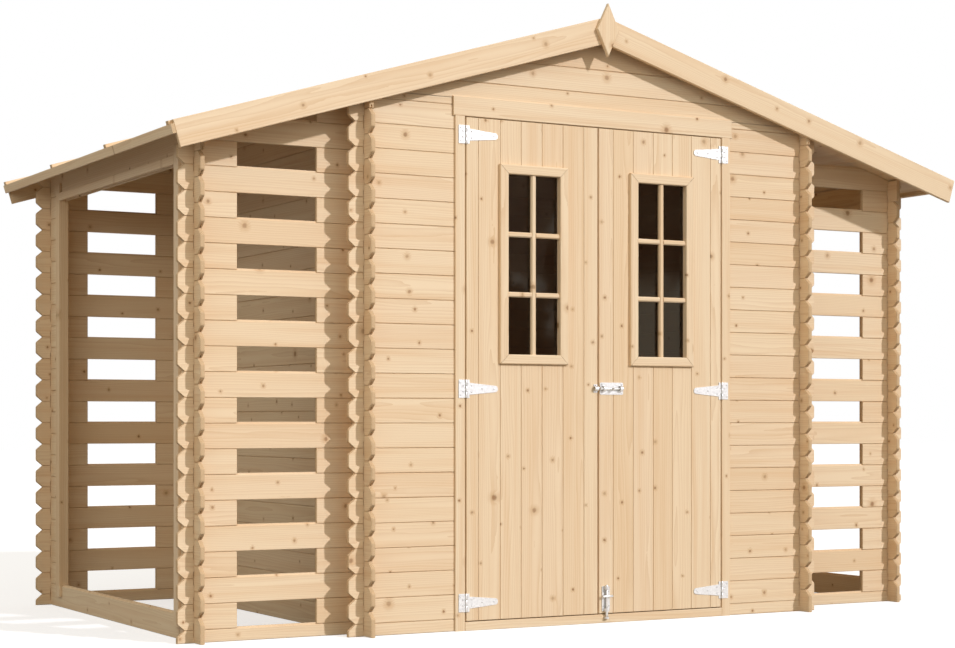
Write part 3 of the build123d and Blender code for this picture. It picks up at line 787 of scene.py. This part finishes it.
def makeWindow(name, body, middle, seed):
    halfW, halfH = leaf["window"][0] / 2, leaf["window"][1] / 2
    zMiddle = (windowLow + windowHigh) / 2
    # moulding: a flat back, then a quarter round of radius r up each edge, outer one first
    wide, thick = leaf["moulding"]
    r = leaf["mouldingRound"]
    t = np.linspace(0, math.pi / 2, 6)
    rise = np.concatenate([[0], thick - r + r * np.sin(t), thick - r + r * np.cos(t), [0]])
    out = np.concatenate([[wide], wide - r + r * np.cos(t), r - r * np.sin(t), [0]])
    # it is carried round the opening and mitred: at a corner it is set off along both sides at once
    corners = np.array(rectangle(-1, 1, -1, 1), dtype=float)
    frameSet = SolidSet(seed)
    for a, b in zip(corners, np.roll(corners, -1, 0)):
        along = (b - a) / np.linalg.norm(b - a)
        ring = []
        for c, away in ((a, leaf["mitre"]), (b, -leaf["mitre"])):
            x = middle + c[0] * (halfW + out) + away * along[0]
            z = zMiddle + c[1] * (halfH + out) + away * along[1]
            ring.append(np.column_stack([x, frameFront - rise, z]))
        ring = np.concatenate(ring)
        shift = frameSet.random.uniform(-1, 1, 3) * (4.0, 0.4, 0.09)    # metres
        flat = ring[:, ::2]
        grain = np.stack([flat @ along, flat @ (-along[1], along[0]), ring[:, 1]], 1) / 1000 + shift
        blocks = [block[:, ::-1] for block in tubeFaces(2, len(rise))]
        frameSet.take(ring, blocks, [0] * len(rise) + [1, 1], grain, frameSet.random.uniform(0, 0.6))
    barWide, barProud = leaf["bar"]
    half, barFront = barWide / 2, frameFront - barProud
    glassFront = frameFront + leaf["thick"] - leaf["glass"]
    upright = rectangle(middle - half, middle + half, barFront, glassFront)
    frameSet.add(upright, windowLow, windowHigh, "plan", chamfer=leaf["barEdge"])
    for row in (1, 2):
        z = windowLow + row * leaf["window"][1] / 3
        section = rectangle(barFront + leaf["crossBarBack"], glassFront, z - half, z + half)
        for x0, x1 in ((middle - halfW, middle - half), (middle + half, middle + halfW)):
            frameSet.add(section, x0, x1, "side", chamfer=leaf["barEdge"])
    frameSet.finish(f"{name}_window_frame", body)
    pane = SolidSet()
    outline = rectangle(middle - halfW, middle + halfW, windowLow, windowHigh)
    pane.add(outline, glassFront, glassFront + leaf["glass"])
    pane.finish(f"{name}_glass", body, "glass")


makeLeaf(-1, "left")
makeLeaf(1, "right")
print("doors made")

fittings = {
    "metal": 2.5,
    "ease": 0.4,
    "plate": (29.0, 64.0),       # a hinge plate's length and height
    "plateScrews": ((0.42, 9.9), (0.78, 22.0)),  # share of its length, and up or down
    "strap": (127.0, 14.0, 42.0, 22.0),  # length, its head's end, height at its root and tip
    "strapTipCut": 6.0,
    "strapScrews": ((22, 11), (22, -11), (64, 0), (112, 0)),
    "knuckle": 3.5,
    "knuckleGap": 1.0,
    "knuckleSide": 1.2,          # plates begin that far from the knuckle's axis
    "rod": 5.0,
    "play": 0.6,                 # of a rod in its guides
    "latchLevel": 847.0,
    "latchPlate": (100.0, 44.0),
    "latchEdge": 3.0,
    "latchScrews": (7.0, 15.0),  # from the plate's end and its middle
    "guide": (20.0, 12.0, 8.0),  # width, length, distance from the plate's end
    "latchRod": 100.0,
    "knob": (52.0, 9.0, 18.0),   # place along the rod, diameter, reach
    "keeper": (16.0, 30.0),
    "keeperScrew": 11.6,
    "boltX": 31.0,
    "boltPlate": (42.0, 133.0, 34.0),  # low and high end, width
    "boltScrews": (12.0, 20.0),
    "boltRod": (25.0, 112.0, 97.0, 44.0),  # foot, length, its handle's level and width
    "handleRadius": 4.2,
    "staple": (3.0, 8.0, 1.5),   # wire, height, how far it stands under the rod's foot
}
hingeX = doorway["half"] - leaf["gap"] / 2
plateFront = frameFront - fittings["metal"]
bore = fittings["rod"] + fittings["play"]
rodY = plateFront - bore
upright = ((1, 0, 0), (0, -1, 0), (0, 0, 1))  # axes of a guide's section over an upright rod
level = ((0, 0, 1), (0, -1, 0), (1, 0, 0))    # and over a level one


def roundedBox(x0, x1, z0, z1, radius, steps=4):
    # a quarter circle at each corner, a quarter turn on from the last
    t = np.linspace(0, math.pi / 2, steps + 1)
    left, right, low, high = x0 + radius, x1 - radius, z0 + radius, z1 - radius
    arcs = [np.column_stack([x + radius * np.cos(t + turn * math.pi / 2),
                             z + radius * np.sin(t + turn * math.pi / 2)])
            for turn, (x, z) in enumerate(((right, high), (left, high), (left, low), (right, low)))]
    return np.concatenate(arcs)


def rodProfile(length, radius, foot=1.5, head=1.0):
    # straight sides with a chamfer at either end
    return [(0, radius - foot), (foot, radius), (length - head, radius), (length, radius - head)]


def addGuide(piece, axes, radius, drop, near, far, origin, ease=0.3, steps=16):
    # a guide's section: a half round and its legs, which drop to the plate, round the rod's hole
    t = np.linspace(0, math.pi, steps)
    outer, inner = (r * np.column_stack([np.cos(t), np.sin(t)]) for r in (radius, bore))
    section = np.concatenate([[(radius, -drop)], outer, [(-radius, -drop)], [(-bore, -drop)], inner[::-1],
                              [(bore, -drop)]])
    piece.add(section, near, far, axes, "u", ease, origin)


def makeHinges(side, name):
    f = fittings
    x, gap, r, beside = side * hingeX, f["knuckleGap"], f["knuckle"], f["knuckleSide"]
    long, high = f["plate"]
    third = high / 3
    length, head, root, tip = f["strap"]
    cut = f["strapTipCut"]
    # a strap's lower outline, as distance from the axis and half height; the upper one mirrors it
    half = np.array([(beside, third / 2 - gap), (leaf["gap"], third / 2 - gap), (leaf["gap"], high / 2),
                     (head, high / 2), (head, root / 2), (length - cut, tip / 2), (length, tip / 2 - cut)])
    strap = np.concatenate([half * (-side, -1), half[::-1] * (-side, 1)])
    plates, straps = SolidSet(), SolidSet()
    for z in leaf["hingeLevels"]:
        x0, x1 = sorted((x + side * beside, x + side * long))
        outline = roundedBox(x0, x1, z - high / 2, z + high / 2, radius=2.5)
        plates.add(outline, plateFront, frameFront, ease=f["ease"])
        for target, step, short in ((plates, -third, 0), (straps, 0, gap), (plates, third, 0)):
            tall = third - 2 * short
            profile = [(0, r - 0.5), (0.4, r), (tall - 0.4, r), (tall, r - 0.5)]
            target.lathe(profile, (x, frameFront - r, z + step - tall / 2), (0, 0, 1), 20)
        for share, up in f["plateScrews"]:
            for sign in (-1, 1):
                plates.screw(x + side * long * share, z + sign * up, radius=3.0)
        straps.add(strap + (x, z), plateFront, frameFront, ease=f["ease"])
        for sx, sz in f["strapScrews"]:
            straps.screw(x - side * sx, z + sz, radius=3.2)
    plates.finish(f"{name}_hinge_plates", "shed", "zinc")
    straps.finish(f"{name}_hinge_straps", f"{name}_door", "zinc")


def makeLatch():
    f = fittings
    edge, z = leaf["gap"] / 2, f["latchLevel"]
    long, high = f["latchPlate"]
    x0, x1 = edge + f["latchEdge"], edge + f["latchEdge"] + long
    plate, rod, keeper = SolidSet(), SolidSet(), SolidSet()
    outline = roundedBox(x0, x1, z - high / 2, z + high / 2, radius=5)
    plate.add(outline, plateFront, frameFront, ease=f["ease"])
    wide, length, fromEnd = f["guide"]
    for start in (x0 + fromEnd, x1 - fromEnd - length):
        addGuide(plate, level, wide / 2, bore, start, start + length, (0, rodY, z))
    fromEnd, up = f["latchScrews"]
    for x in (x0 + fromEnd, x1 - fromEnd):
        for sign in (-1, 1):
            plate.screw(x, z + sign * up, radius=3.0)
    plate.finish("latch_plate", "right_door", "zinc")
    rod.lathe(rodProfile(f["latchRod"], f["rod"]), (edge, rodY, z), (1, 0, 0))
    place, thick, reach = f["knob"]
    knob = thick / 2
    rod.lathe([(0, knob), (reach - 8, knob), (reach - 7, knob), (reach - 1, knob), (reach, knob - 1.0)],
              (edge + place, rodY, z), (0, -1, 0), 20)
    rod.finish("latch_rod", "latch_rod", "zinc")
    wide, high = f["keeper"]
    x1 = edge - leaf["gap"] - f["latchEdge"]
    x0, radius = x1 - wide, bore + f["metal"]
    addGuide(keeper, level, radius, bore, x0, x1, (0, rodY, z))
    for sign in (-1, 1):
        z0, z1 = sorted((z + sign * radius, z + sign * high / 2))
        keeper.add(rectangle(x0, x1, z0, z1), plateFront, frameFront, ease=0.3)
        keeper.screw(x1 - wide / 2, z + sign * f["keeperScrew"], radius=2.2)
    keeper.finish("latch_keeper", "left_door", "zinc")


def makeBolt():
    f = fittings
    x = f["boltX"]
    low, high, wide = f["boltPlate"]
    plate, rod, staple = SolidSet(), SolidSet(), SolidSet()
    outline = roundedBox(x - wide / 2, x + wide / 2, low, high, radius=4)
    plate.add(outline, plateFront, frameFront, ease=f["ease"])
    wide, length, _ = f["guide"]
    for z in (low, high - length):
        addGuide(plate, upright, wide / 2, bore, z, z + length, (x, rodY, 0))
    aside, fromEnd = f["boltScrews"]
    for sign in (-1, 1):
        for z in (low + fromEnd, high - fromEnd):
            plate.screw(x + sign * aside, z, radius=2.6)
    plate.finish("bolt_plate", "right_door", "zinc")
    foot, length, handle, reach = f["boltRod"]
    rod.lathe(rodProfile(length, f["rod"]), (x, rodY, foot), (0, 0, 1))
    half, r = reach / 2, f["handleRadius"]
    rod.lathe([(-half, r - 0.8), (-half + 1, r), (half - 1, r), (half, r - 0.8)], (x, rodY - bore, handle),
              (1, 0, 0), 20)
    rod.finish("bolt_rod", "bolt_rod", "zinc")
    wire, tall, under = f["staple"]
    top = foot - under
    addGuide(staple, upright, bore + wire, frameFront - rodY, top - tall, top, (x, rodY, 0), 0.5)
    staple.finish("bolt_staple", "shed", "zinc")


makeHinges(-1, "left")
makeHinges(1, "right")
makeLatch()
makeBolt()
print("hardware made")

studio = {
    "floorHalf": 40.0,               # metres
    "floorGrey": "#7c7b79",          # what the floor gives back to the shed
    "floorSeen": "#c8c7c5",          # what the camera sees, besides the floor's own light
    "floorGlow": 0.62,
    "sun": 2.15,
    "sunColour": (1.0, 1.0, 1.1),
    "sunFrom": (0.42, -0.77, 0.48),  # towards the lamp
    "sunAngle": 2.0,
    "softLamps": {                   # watts, place in metres, turn in degrees
        "fillLamp": (35.0, (0.8, -7.5, 3.2), (72, 0, 6)),
        "skyLamp": (100.0, (-6.0, -5.2, 3.4), (68, 0, -48)),
    },
    "softSize": (6.0, 3.0),
    "world": 0.56,
    "worldColour": (1.0, 0.93, 0.82, 1.0),
    "trees": ((0.44, "#8a674e"), (0.57, "#a28365"), (0.66, "#fff4e4")),  # garden mirrored in the panes
    "wall": "#efe0c4",               # and a pale wall low on its right
    "cameraAt": (-3.8683, -6.9449, 0.7321),
    "cameraTurn": (90, 0, -29.13),
    "lens": 74.86,
    "shift": (-0.0005, 0.1009),      # of the photograph's frame
}


def directRays(add, path):
    # 1 for rays from the camera and for those seen in metal or through glass
    direct = path.outputs["Is Camera Ray"]
    for ray in ("Is Glossy Ray", "Is Transmission Ray"):
        direct = add("Math", [direct, path.outputs[ray]], operation="MAXIMUM")
    return direct


def floorNodes(add):
    # Painted studio floor: grey to the shed's light, near white to whoever looks at it
    direct = directRays(add, add("LightPath"))
    grey, seen = (add("BsdfDiffuse", [hexLinear(studio[key])]) for key in ("floorGrey", "floorSeen"))
    glow = add("Emission", {"Strength": studio["floorGlow"]})
    white = add("AddShader", [seen, glow])
    return add("MixShader", [direct, grey, white])


def worldNodes(add):
    # lights the shed with a soft warm white; a camera sees it white, and glass and metal mirror a
    # garden low in front of the shed, with white behind and above
    direction = add("TexCoord").outputs["Generated"]
    part = add("SeparateXYZ", [direction])
    masks = {}
    for name, axis, none, full in (("low", "Z", 0.075, 0.06), ("right", "X", 0.53, 0.55),
                                   ("behind", "Y", -0.25, 0.05), ("above", "Z", 0.14, 0.32)):
        masks[name] = add("MapRange", [part.outputs[axis], none, full, 0.0, 1.0])
    leaves = add("TexNoise", {"Vector": direction, "Scale": 34.0, "Detail": 6.0})
    trees = add("ValToRGB", [leaves], studio["trees"])
    wall = add("Math", [masks["low"], masks["right"]], operation="MULTIPLY")
    garden = add("Mix", {0: wall, 6: trees, 7: hexLinear(studio["wall"])}, data_type="RGBA")
    sky = add("Math", [masks["behind"], masks["above"]], operation="MAXIMUM")
    around = add("Mix", {0: sky, 6: garden, 7: (1, 1, 1, 1)}, data_type="RGBA")
    path = add("LightPath")
    glossy = path.outputs["Is Glossy Ray"]
    seen = add("Mix", {0: glossy, 6: (1, 1, 1, 1), 7: around}, data_type="RGBA")
    direct = directRays(add, path)
    colour = add("Mix", {0: direct, 6: studio["worldColour"], 7: seen}, data_type="RGBA")
    strength = add("MapRange", [direct, 0.0, 1.0, studio["world"], 1.0])
    return add("Background", [colour, strength])


def makeStudio():
    size = studio["floorHalf"]
    mesh = bpy.data.meshes.new("studioFloor")
    mesh.from_pydata([(x, y, 0) for x, y in rectangle(-size, size, -size, size)], [], [(0, 1, 2, 3)])
    mesh.materials.append(newMaterial("paintedStudioFloor", floorNodes))
    putInScene("studioFloor", mesh)

    sun = bpy.data.lights.new("sunLamp", "SUN")
    sun.energy, sun.color, sun.angle = studio["sun"], studio["sunColour"], math.radians(studio["sunAngle"])
    x, y, z = np.array(studio["sunFrom"]) / np.linalg.norm(studio["sunFrom"])
    putInScene("sunLamp", sun, turn=(math.degrees(math.acos(z)), 0, math.degrees(math.atan2(x, -y))))
    for name, (watts, location, turn) in studio["softLamps"].items():
        lamp = bpy.data.lights.new(name, "AREA")
        lamp.shape, lamp.energy = "RECTANGLE", watts
        lamp.size, lamp.size_y = studio["softSize"]
        putInScene(name, lamp, location, turn).visible_glossy = False

    scene = bpy.context.scene
    scene.world = fillTree(bpy.data.worlds.new("studioWorld"), "OutputWorld", worldNodes)
    camera = bpy.data.cameras.new("camera")
    camera.lens, camera.sensor_width, camera.clip_end = studio["lens"], 36.0, 200
    camera.shift_x, camera.shift_y = studio["shift"]
    scene.camera = putInScene("camera", camera, studio["cameraAt"], studio["cameraTurn"])
    scene.view_settings.view_transform = "Standard"


makeStudio()
print("studio made")
